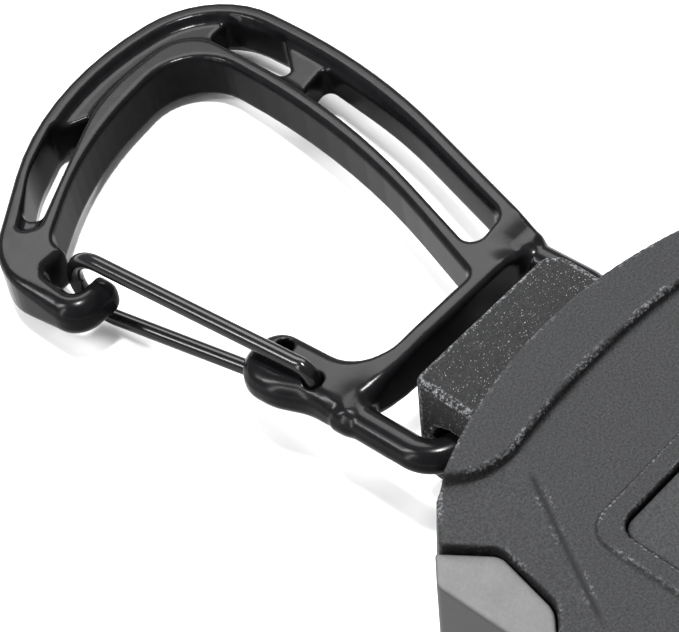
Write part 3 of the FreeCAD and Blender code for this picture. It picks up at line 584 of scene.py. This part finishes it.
WINDOWS = [[(-12.3, 50.2, 0.8), (-7.6, 54.2, 14.0), (-2.3, 56.7, 1.0), (1.7, 54.9, 0.4), (-11.0, 48.8, 0.8)],
           [(15.7, 53.1, 0.8), (18.6, 53.2, 0.8), (19.5, 46.4, 1.2), (15.6, 41.8, 0.7)],
           [(15.2, 40.0, 0.8), (18.8, 40.6, 0.8), (17.2, 29.0, 60.0), (12.4, 13.2, 2.0),
            (7.9, 12.6, 1.2), (12.9, 28.0, 80.0)]]
NOSE_SLOPE, HINGE_SLOPE = math.tan(math.radians(4.0)), math.tan(math.radians(2.9))
EYE_HALF, EYE_BEND, BAR_RADIUS, WIRE_RADIUS = 11.6, 3.0, 1.5, 0.75
PIVOT, BACK_SOCKET, GATE_TIP = (-11.5, 14.0), (-10.1, 18.7), (-13.7, 42.0)
FRONT_LEG_NOSE, BACK_LEG_NOSE, LEG_HINGE = 3.8, 3.6, 3.15
FRAME_HALF, WEB_HALF, ARM_END = 2.5, 1.6, 10.5
SOCKET_GAP, FRONT_SOCKET_FLOOR = 0.12, -1.9


def eye_distance(grid):
    """Field of the round bar and its two bent arms."""
    x, u, w = grid.axes
    ax = np.abs(x)
    turn = EYE_HALF - EYE_BEND
    corner = np.hypot(np.maximum(ax - turn, 0), np.maximum(EYE_BEND - u, 0))
    bend = np.where((ax > turn) & (u < EYE_BEND), np.abs(corner - EYE_BEND), np.inf)
    bar = np.where(ax <= turn, np.abs(u), np.inf)
    arm = np.where(u >= EYE_BEND, np.abs(ax - EYE_HALF), np.inf)
    flat = np.minimum(np.minimum(bend, bar), arm)
    flat = np.maximum(flat, u - ARM_END + BAR_RADIUS)
    return np.hypot(flat, w) - BAR_RADIUS


def frame_half(x, u):
    """Half the frame's thickness, which falls off along the nose, the hinge block and the eye's arms."""
    nose = np.clip(46 - u, 0, 12) * np.clip((-9 - x) / 2, 0, 1) * NOSE_SLOPE
    hinge = np.clip(-2 - x, 0, 14) * np.clip((23 - u) / 2, 0, 1) * HINGE_SLOPE
    neck = eased((12.5 - u) / 3.7) * eased((np.abs(x) - 7.5) / 3.5)
    return FRAME_HALF - np.maximum(nose * (u > 30), hinge) - neck * np.where(x < 0, 0.42, 0.8)


def frame_edge(x, u):
    """Radius of the frame's edges, which grows on the nose and the hinge block."""
    nose = np.clip((46 - u) / 6, 0, 1) * np.clip((-10 - x) / 2, 0, 1) * (u > 30)
    hinge = np.clip((-6 - x) / 5, 0, 1) * (u < 30)
    return 0.6 + 1.0 * np.maximum(nose, hinge)


def make_carabiner():
    grid = Grid((-20.4, -3.0, -3.6), (22.8, 62.0, 3.6), 0.17)
    x, u, w = grid.axes
    plan = grid.flat(rounded(NOSE + OUTSIDE + HINGE_BLOCK + INSIDE))
    body = both(plan, np.abs(w) - frame_half(x, u), frame_edge(x, u))
    body = either(body, eye_distance(grid), 0.9)
    channel = both(grid.flat(rounded(CHANNEL)), WEB_HALF - np.abs(w), 0.8)
    body = less(body, channel, 0.5)
    for window in WINDOWS:
        body = less(body, grid.flat(rounded(window)) + 0 * w, 0.35)
    front = np.hypot(x - PIVOT[0], u - PIVOT[1]) - WIRE_RADIUS - SOCKET_GAP
    body = less(body, np.maximum(front, FRONT_SOCKET_FLOOR - w), 0.2)
    back = np.hypot(x - BACK_SOCKET[0], u - BACK_SOCKET[1]) - WIRE_RADIUS - SOCKET_GAP
    body = less(body, back + 0 * w, 0.2)
    piece = new_object("carabiner_forging", *surface(body, grid), transform=carabiner_transform())
    dress(piece, "carabiner", "carabiner_coating", LOOKS["carabiner_coating"], "carabiner_frame")


def make_gate():
    """The wire gate: front pivot, front leg, round end, back leg and the end that stops at its socket."""
    turn = (FRONT_LEG_NOSE + BACK_LEG_NOSE) / 2 - 0.1
    stations = [((*PIVOT, 0.2), 0), ((*PIVOT, LEG_HINGE), 1.3), ((*GATE_TIP, FRONT_LEG_NOSE), turn),
                ((*GATE_TIP, -BACK_LEG_NOSE), turn), ((*BACK_SOCKET, -LEG_HINGE), 0.8),
                ((*BACK_SOCKET, -2.2), 0)]
    wire = rod("gate_rod", smooth_path(stations, 0.25), WIRE_RADIUS, carabiner_transform())
    dress(wire, "gate", "wire_coating", LOOKS["wire_coating"], "gate_wire")


# ---------------------------------------------------------------- case

CROWN, SHOULDER, SIDE, FLAT_END = 30.0, (18.8, 25.9), 25.0, 20.1
DRAFT = math.tan(math.radians(2.3))
BAY_RADIUS, BACK_WALL, FRONT_WALL = 22.2, 1.8, 2.4
BORE_RADIUS, OUTLET_RADIUS = 2.4, 3.0
LUG_HALF_DEPTH, LUG_FRONT_EDGE, LUG_BACK_EDGE, LUG_ROOT = 6.7, 0.45, 1.9, 0.35
LUG_LEFT, LUG_RIGHT, LUG_TOP, LUG_FOOT = 9.6, 8.45, 36.0, 26.0
PART_GAP, PART_EDGE, BACK_EDGE, RAISED_EDGE = 0.02, 0.14, 0.9, 0.15
FACET_SLOPE = math.tan(math.radians(4.0))
BAND_LEVEL, BAND_HALF, BAND_COSINE, BAND_SINE = 18.8, 1.0, 0.88, 0.47
SCREW_X, SCREW_Y, SINK_RADIUS, SINK_DEPTH = 15.6, 21.6, 2.05, 1.6
# Half width, half height and corner radius of each square.
BEZEL, SEAT, PLATE = (14.2, 14.5, 2.6), (12.3, 12.6, 1.65), (12.15, 12.45, 1.5)
BEZEL_HALF, PLATE_MIDDLE, PLATE_HALF = 0.6, 17.725, 0.525
INSERT_LEAN, LEAN_COSINE = 0.12, 0.993
RAISED_TOP, BEZEL_TOP, SEAT_FLOOR, INSERT_FLOOR, INSERT_SINK = 19.2, 18.8, 17.2, 10.0, 0.9
CREASE_TOP, CREASE_FOOT = np.array((12.2, 21.3)), np.array((20.0, 7.5))
CREASE_DEPTH, CREASE_WIDTH = 0.16, 0.22


def arc_points(start, middle, end, steps=40):
    """Points of the circle through three points."""
    (ax, ay), (bx, by), (cx, cy) = start, middle, end
    d = 2 * (ax * (by - cy) + bx * (cy - ay) + cx * (ay - by))
    a2, b2, c2 = ax ** 2 + ay ** 2, bx ** 2 + by ** 2, cx ** 2 + cy ** 2
    ux = (a2 * (by - cy) + b2 * (cy - ay) + c2 * (ay - by)) / d
    uy = (a2 * (cx - bx) + b2 * (ax - cx) + c2 * (bx - ax)) / d
    radius = math.hypot(ax - ux, ay - uy)
    angles = [math.atan2(y - uy, x - ux) for x, y in (start, middle, end)]
    first, second = ((b - a + math.pi) % (2 * math.pi) - math.pi for a, b in zip(angles, angles[1:]))
    turns = [angles[0] + (first + second) * t for t in np.linspace(0, 1, steps)]
    return [(ux + radius * math.cos(a), uy + radius * math.sin(a)) for a in turns]


def case_points():
    x, y = SHOULDER
    top = arc_points((x, y), (0, CROWN), (-x, y))
    return np.array([(SIDE, -FLAT_END), (SIDE, FLAT_END)] + top + [(-SIDE, FLAT_END), (-SIDE, -FLAT_END)]
                    + [(-a, -b) for a, b in top])


def crown_y(x):
    drop = CROWN - SHOULDER[1]
    radius = (SHOULDER[0] ** 2 + drop ** 2) / (2 * drop)
    return CROWN - radius + np.sqrt(radius ** 2 - x ** 2)


def crescent_points(way):
    end, turn, start = 17.3, (14.4, 24.0), (10.9, 23.5)
    top = crown_y(end)
    points = arc_points((end, top), (0, CROWN), (-end, top))
    points += arc_points((-end, top), (-turn[0], turn[1]), (-start[0], start[1]), 12)[1:]
    points += arc_points((-start[0], start[1]), (0, 24.2), start, 30)[1:]
    points += arc_points(start, turn, (end, top), 12)[1:-1]
    return np.array([(a, way * b) for a, b in points])


def square_points(half_x, half_y, radius):
    return rounded([(sx * half_x, sy * half_y, radius) for sx, sy in ((1, 1), (-1, 1), (-1, -1), (1, -1))])


def facet_fall(x, y):
    """How far the front surface lies below its plateau, beyond the four crease lines."""
    top, foot = np.array((12.2, 21.7)), np.array((20.0, 7.5))
    run = (foot - top) / np.linalg.norm(foot - top)
    beyond = (np.abs(x) - top[0]) * -run[1] + (np.abs(y) - top[1]) * run[0]
    return np.maximum(beyond, 0) * FACET_SLOPE


def crease_line(x, y):
    """Depth of the fine scored line along each crease, faded at both ends."""
    length = np.linalg.norm(CREASE_FOOT - CREASE_TOP)
    run = (CREASE_FOOT - CREASE_TOP) / length
    ahead, aside = np.abs(x) - CREASE_TOP[0], np.abs(y) - CREASE_TOP[1]
    beyond, along = aside * run[0] - ahead * run[1], ahead * run[0] + aside * run[1]
    shown = np.clip(along / 0.6, 0, 1) * np.clip((length - along) / 2, 0, 1)
    return CREASE_DEPTH * shown * np.exp(-(beyond / CREASE_WIDTH) ** 2)


def insert_points(grow, way_x, way_y):
    slope = (SHOULDER[1] - FLAT_END) / (SIDE - SHOULDER[0])
    top_x = 22.0 - grow
    top_y = FLAT_END + slope * (SIDE - top_x)
    outside = 27.0 if grow else SIDE
    points = [(outside, FLAT_END + (8 if grow else 0), 0), (outside, 8.0 - grow, 0)]
    if grow:
        points.append((SIDE, 8.0 - grow, 0))
    points += [(22.2, 10.5 - grow, 1.0), (20.4 - grow, 12.2 - grow, 2.5), (19.1 - grow, 18.6 + grow, 1.8),
               (top_x, top_y, 0)]
    if grow:
        points.append((top_x, FLAT_END + 8, 0))
    return rounded([(way_x * a, way_y * b, r) for a, b, r in points])


CORNERS = [(-1, 1, "upper_left"), (1, 1, "upper_right"), (-1, -1, "lower_left"), (1, -1, "lower_right")]


def lug_field(grid, edge):
    x, y, z = grid.axes
    outline = [(LUG_RIGHT, LUG_TOP, 2.0), (-LUG_LEFT, LUG_TOP, 0.8),
               (-LUG_LEFT, LUG_FOOT, 0), (LUG_RIGHT, LUG_FOOT, 0)]
    return both(grid.flat(rounded(outline)), np.abs(z - PART_PLANE) - LUG_HALF_DEPTH, edge)


def mark_case(piece):
    """Vertex values for the material: 1 on the lug, and 1 along each crease, where painted shade darkens it.
    """
    spots = np.array([vertex.co for vertex in piece.data.vertices]) / MM
    lug = spots[:, 1] > crown_y(np.clip(spots[:, 0], -12, 12)) + 0.15
    add_values(piece.data, "lug", lug)
    crease_shade = crease_line(spots[:, 0], spots[:, 1]) / CREASE_DEPTH
    add_values(piece.data, "crease_shade", crease_shade * (spots[:, 2] > 15))


def shared_cuts(body, grid):
    """Bay, lug bore and cord outlet, which both shells share half of."""
    x, y, z = grid.axes
    bore = np.hypot(y - BAR_Y, z - PART_PLANE) - BORE_RADIUS
    body = less(body, bore + 0 * x, 0.4)
    outlet = np.maximum(np.hypot(x, z - PART_PLANE) - OUTLET_RADIUS, y + 20)
    return less(body, outlet, 0.2)


def make_front_shell():
    grid = Grid((-26.0, -31.0, 8.4), (26.0, 37.0, 20.0), 0.2)
    x, y, z = grid.axes
    plan = grid.flat(case_points()) + (z - PART_PLANE) * DRAFT
    roof = CASE_DEPTH - facet_fall(x, y) - crease_line(x, y)
    body = both(plan, z - roof, 0.3)
    for way in (1, -1):
        sloped = grid.flat(crescent_points(way)) * BAND_COSINE + (z - BAND_LEVEL) * BAND_SINE
        band = both(np.maximum(sloped, plan), np.abs(z - RAISED_TOP + BAND_HALF) - BAND_HALF, RAISED_EDGE)
        body = either(body, band, 0.05)
    rim = np.abs(z - BEZEL_TOP + BEZEL_HALF) - BEZEL_HALF
    body = either(body, both(grid.flat(square_points(*BEZEL)), rim, RAISED_EDGE), 0.05)
    seat = both(grid.flat(square_points(*SEAT)), SEAT_FLOOR - z)
    body = less(body, seat, 0.18)
    for way_x, way_y, _ in CORNERS:
        pocket = both(grid.flat(insert_points(0.15, way_x, way_y)), INSERT_FLOOR - z)
        body = less(body, pocket, 0.22)
    body = either(body, lug_field(grid, LUG_FRONT_EDGE), LUG_ROOT)
    bay = np.maximum(np.hypot(x, y) - BAY_RADIUS, z - CASE_DEPTH + FRONT_WALL)
    body = less(body, bay)
    body = shared_cuts(body, grid)
    body = both(body, PART_PLANE + PART_GAP - z, PART_EDGE)
    piece = new_object("front_moulding", *surface(body, grid))
    mark_case(piece)
    dress(piece, "housing", "case_plastic", LOOKS["case_plastic"], "front_shell")


def make_rear_shell():
    grid = Grid((-26.0, -31.0, -0.8), (26.0, 37.0, 10.0), 0.2)
    x, y, z = grid.axes
    body = both(grid.flat(case_points()), -z, BACK_EDGE)
    body = either(body, lug_field(grid, LUG_BACK_EDGE), LUG_ROOT)
    bay = np.maximum(np.hypot(x, y) - BAY_RADIUS, BACK_WALL - z)
    body = less(body, bay)
    body = shared_cuts(body, grid)
    for way_x, way_y, _ in CORNERS:
        beside = np.hypot(x - way_x * SCREW_X, y - way_y * SCREW_Y) - SINK_RADIUS
        sink = np.maximum(beside, z - SINK_DEPTH)
        body = less(body, sink, 0.2)
    body = both(body, z - PART_PLANE + PART_GAP, PART_EDGE)
    piece = new_object("rear_moulding", *surface(body, grid))
    mark_case(piece)
    dress(piece, "housing", "case_plastic", LOOKS["case_plastic"], "rear_shell")


def make_inserts():
    for way_x, way_y, name in CORNERS:
        lows = (min(way_x * 18.4, way_x * 25.8), min(way_y * 7.4, way_y * 24.4), 9.4)
        highs = (max(way_x * 18.4, way_x * 25.8), max(way_y * 7.4, way_y * 24.4), 18.2)
        grid = Grid(lows, highs, 0.12)
        x, y, z = grid.axes
        roof = CASE_DEPTH - INSERT_SINK - facet_fall(x, y)
        body = both(grid.flat(insert_points(0.0, way_x, way_y)), z - roof, 0.3)
        outer = (way_x * x - SIDE + (z - INSERT_FLOOR) * INSERT_LEAN) * LEAN_COSINE
        body = both(body, outer, 0.3)
        body = both(body, INSERT_FLOOR - z, 0.1)
        piece = new_object(f"insert_{name}", *surface(body, grid))
        dress(piece, "housing", "insert_rubber", LOOKS["insert_rubber"], f"corner_insert_{name}")


def make_plate():
    grid = Grid((-12.8, -13.0, 16.8), (12.8, 13.0, 18.6), 0.15)
    x, y, z = grid.axes
    body = both(grid.flat(square_points(*PLATE)), np.abs(z - PLATE_MIDDLE) - PLATE_HALF, 0.2)
    piece = new_object("front_plate", *surface(body, grid))
    dress(piece, "housing", "plate_plastic", LOOKS["plate_plastic"], "centre_plate")


# ---------------------------------------------------------------- small pieces and hidden nodes

CORD_RADIUS = 0.6
BUSH_RADIUS, BUSH_MIDDLE, BUSH_HALF = 3.0, 27.3, 3.3
FLANGE_RADIUS, FLANGE_MIDDLE, FLANGE_HALF = 4.0, 30.5, 0.5
HOLE_RADIUS, HOLE_EDGE = 0.9, 0.6
STOP_START, STOP_END, TONGUE_HOLE = 31.1, 37.1, 40.6
BARREL_RADIUS, CORD_BORE_END, DIAGONAL = 3.4, 36.1, 0.707
GROOVES, GROOVE_RADIUS, GROOVE_CENTRE = (33.0, 34.2, 35.4), 0.4, 3.6
TONGUE_START, TONGUE_HALF, TONGUE_THICK_HALF, TONGUE_HOLE_RADIUS = 36.6, 2.9, 1.6, 1.7
RING_RADIUS, RING_DROOP = 11.1, math.radians(20.5)


def outlet_axes(grid):
    """Distance below the reel's axis, distance from the cord's line, and the cross axes of a grid."""
    x, y, z = grid.axes
    return -y, np.hypot(x, z - PART_PLANE), x, z - PART_PLANE


def make_bushing():
    grid = Grid((-4.4, -31.4, 4.8), (4.4, -23.6, 13.6), 0.12)
    along, r, _, _ = outlet_axes(grid)
    body = both(r - BUSH_RADIUS, np.abs(along - BUSH_MIDDLE) - BUSH_HALF, 0.25)
    body = either(body, both(r - FLANGE_RADIUS, np.abs(along - FLANGE_MIDDLE) - FLANGE_HALF, 0.3))
    body = less(body, r - HOLE_RADIUS + 0 * along, HOLE_EDGE)
    piece = new_object("turned_bushing", *surface(body, grid))
    dress(piece, "housing", "bushing_plastic", LOOKS["bushing_plastic"], "outlet_bushing")


def make_cord_lead():
    """Cord through the bushing, which draws out between the housing and the stop."""
    stations = [((0, -24.0, PART_PLANE), 0), ((0, -36.05, PART_PLANE), 0)]
    piece = rod("cord_through", smooth_path(stations, 0.1), CORD_RADIUS)
    dress(piece, None, "cord", LOOKS["cord"], "cord_lead")
    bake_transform(piece)


def make_stop():
    """Barrel with grip grooves, and the tongue whose hole holds the ring."""
    grid = Grid((-3.8, -44.0, 5.4), (3.8, -30.8, 13.0), 0.12)
    along, r, x, up = outlet_axes(grid)
    middle, half = (STOP_START + STOP_END) / 2, (STOP_END - STOP_START) / 2
    barrel = both(r - BARREL_RADIUS, np.abs(along - middle) - half, 0.25)
    barrel = both(barrel, (r - 2.6 - (along - STOP_START)) * DIAGONAL, 0.3)
    barrel = both(barrel, (r - 2.2 - (STOP_END - along)) * DIAGONAL, 0.3)
    for groove in GROOVES:
        barrel = less(barrel, np.hypot(r - GROOVE_CENTRE, along - groove) - GROOVE_RADIUS, 0.1)
    outline = both(np.abs(up) - TONGUE_HALF, along - TONGUE_HOLE - TONGUE_HALF, 2.8)
    tongue = both(both(outline, np.abs(x) - TONGUE_THICK_HALF, 0.4), TONGUE_START - along)
    body = either(barrel, tongue, 0.5)
    body = less(body, np.hypot(along - TONGUE_HOLE, up) - TONGUE_HOLE_RADIUS + 0 * x, 0.35)
    body = less(body, np.maximum(r - CORD_RADIUS - 0.02, along - CORD_BORE_END), 0.15)
    piece = new_object("stop_barrel", *surface(body, grid))
    dress(piece, "cord_end", "bushing_plastic", LOOKS["bushing_plastic"], "cord_stop")


def make_split_ring():
    """Flat wire wound just under twice round, climbing from the lower turn to the upper at its crossing."""
    wide, thick, edge = 0.88, 0.48, 0.22
    corners = [(wide, -thick, edge), (wide, thick, edge), (-wide, thick, edge), (-wide, -thick, edge)]
    section = rounded(corners, 6)
    turns = np.radians(np.linspace(20, 700, 400))
    height = eased((np.degrees(turns) - 340) / 40) - 0.5
    reach = RING_RADIUS + section[:, 0][None, :]
    rings = np.stack([reach * np.cos(turns)[:, None], reach * np.sin(turns)[:, None],
                      height[:, None] + section[:, 1][None, :]], axis=-1)
    grid = np.arange(rings.shape[0] * rings.shape[1]).reshape(rings.shape[:2])
    a, b = grid[:-1], grid[1:]
    quads = np.stack([a, b, np.roll(b, -1, 1), np.roll(a, -1, 1)], axis=-1).reshape(-1, 4)
    hang = (Matrix.Translation((0, -TONGUE_HOLE, PART_PLANE)) @ Matrix.Rotation(RING_DROOP, 4, "X")
            @ Matrix.Translation((0, -RING_RADIUS, 0)))
    piece = new_object("ring_coil", rings.reshape(-1, 3), quads, transform=hang)
    close_ends(piece, grid[:, ::-1])
    dress(piece, "ring", "ring_steel", LOOKS["ring_steel"], "split_ring")


HIDDEN = {"case_screws": "screw_steel", "arbor": "pin_steel", "spool": "spool_plastic",
          "mainspring": "spring_steel", "rear_washer": "pin_steel", "front_washer": "pin_steel",
          "spring_cover": "spool_plastic", "cord_winding": "cord", "cord_run": "cord"}


def finish_hidden():
    for node, name in HIDDEN.items():
        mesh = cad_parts[node].data
        mesh.materials.clear()
        mesh.materials.append(LOOKS[name])


make_camera()
light_studio()
make_floor()
make_carabiner()
make_gate()
make_front_shell()
make_rear_shell()
make_inserts()
make_plate()
make_bushing()
make_cord_lead()
make_stop()
make_split_ring()
finish_hidden()
